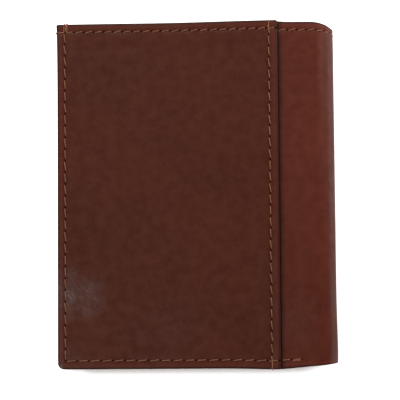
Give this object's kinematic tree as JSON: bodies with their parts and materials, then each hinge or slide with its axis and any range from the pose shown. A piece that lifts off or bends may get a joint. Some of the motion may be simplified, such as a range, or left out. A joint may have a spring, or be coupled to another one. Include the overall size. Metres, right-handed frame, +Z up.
{
  "type": "trifold wallet",
  "caption": "Closed trifold leather wallet with topstitched outer flap, rolled outer fold, hinged flaps, card pockets and an ID window.",
  "frame": {"origin": "middle of the wallet's footprint on the surface that it lies on, under its back", "axes": "+X towards the outer fold, +Y towards the bill compartment's mouth, +Z up through the closed flaps, out of the outer flap's cover"},
  "size_m": [0.082, 0.102, 0.0164],
  "materials": {
    "shell_leather": "dark reddish brown smooth full-grain leather, fine grain, light edge wear",
    "pocket_leather": "dark brown thin smooth leather",
    "lining_fabric": "dark brown fine woven lining",
    "interlining_board": "bonded leather fibre board",
    "clear_film": "clear soft vinyl film",
    "thread": "tan brown bonded sewing thread"
  },
  "bodies": {
    "centre": {"shell_back_panel": "shell_leather", "lining_back": "lining_fabric", "centre_backing": "lining_fabric", "centre_card_panel": "pocket_leather", "centre_card_pocket": "pocket_leather", "id_window_film": "clear_film", "id_window_frame": "pocket_leather", "window_frame_left_stitches": "thread", "window_frame_right_stitches": "thread", "window_frame_bottom_stitches": "thread", "shell_inner_fold": "shell_leather", "shell_outer_fold_lower": "shell_leather"},
    "spine_lower": {"shell_spine_lower": "shell_leather", "shell_outer_fold_middle": "shell_leather"},
    "spine_upper": {"shell_spine_upper": "shell_leather", "shell_outer_fold_upper": "shell_leather"},
    "outer_flap": {"shell_lap_panel": "shell_leather", "flap_cover": "shell_leather", "flap_interlining": "interlining_board", "lining_outer_flap": "lining_fabric", "outer_backing": "lining_fabric", "outer_card_panel": "pocket_leather", "outer_rear_pocket": "pocket_leather", "outer_middle_pocket": "pocket_leather", "outer_front_pocket": "pocket_leather", "left_edge_stitches": "thread", "lap_seam_stitches": "thread", "top_hem_stitches": "thread", "top_hem_spine_stitches": "thread", "bottom_edge_stitches": "thread", "bottom_edge_spine_stitches": "thread"},
    "inner_flap": {"shell_inner_flap_panel": "shell_leather", "lining_inner_flap": "lining_fabric", "inner_backing": "lining_fabric", "inner_card_panel": "pocket_leather", "inner_rear_pocket": "pocket_leather", "inner_middle_pocket": "pocket_leather", "inner_front_pocket": "pocket_leather", "top_inner_flap_stitches": "thread", "bottom_inner_flap_stitches": "thread", "tip_inner_flap_stitches": "thread"}
  },
  "joints": [
    {"name": "outer_fold_lower_crease", "type": "hinge", "parent": "centre", "child": "spine_lower", "pos_m": [0.0373, 0, 0.00058], "axis": [0, 1, 0], "range_deg": [0, 58.5], "deforming": ["shell_outer_fold_lower"]},
    {"name": "outer_fold_middle_crease", "type": "hinge", "parent": "spine_lower", "child": "spine_upper", "pos_m": [0.04129, 0, 0.0075], "axis": [0, 1, 0], "range_deg": [0, 58.5], "deforming": ["shell_outer_fold_middle"]},
    {"name": "outer_fold_upper_crease", "type": "hinge", "parent": "spine_upper", "child": "outer_flap", "pos_m": [0.0373, 0, 0.01442], "axis": [0, 1, 0], "range_deg": [0, 58.5], "deforming": ["shell_outer_fold_upper"]},
    {"name": "inner_fold_crease", "type": "hinge", "parent": "centre", "child": "inner_flap", "pos_m": [-0.04, 0, 0.00485], "axis": [0, -1, 0], "range_deg": [0, 29.25], "deforming": ["shell_inner_fold"]}
  ],
  "couplings": [
    {"joint": "outer_fold_middle_crease", "follows": "outer_fold_lower_crease", "ratio": 1},
    {"joint": "outer_fold_upper_crease", "follows": "outer_fold_lower_crease", "ratio": 1},
    {"joint": "inner_fold_crease", "follows": "outer_fold_lower_crease", "ratio": 0.5}
  ]
}
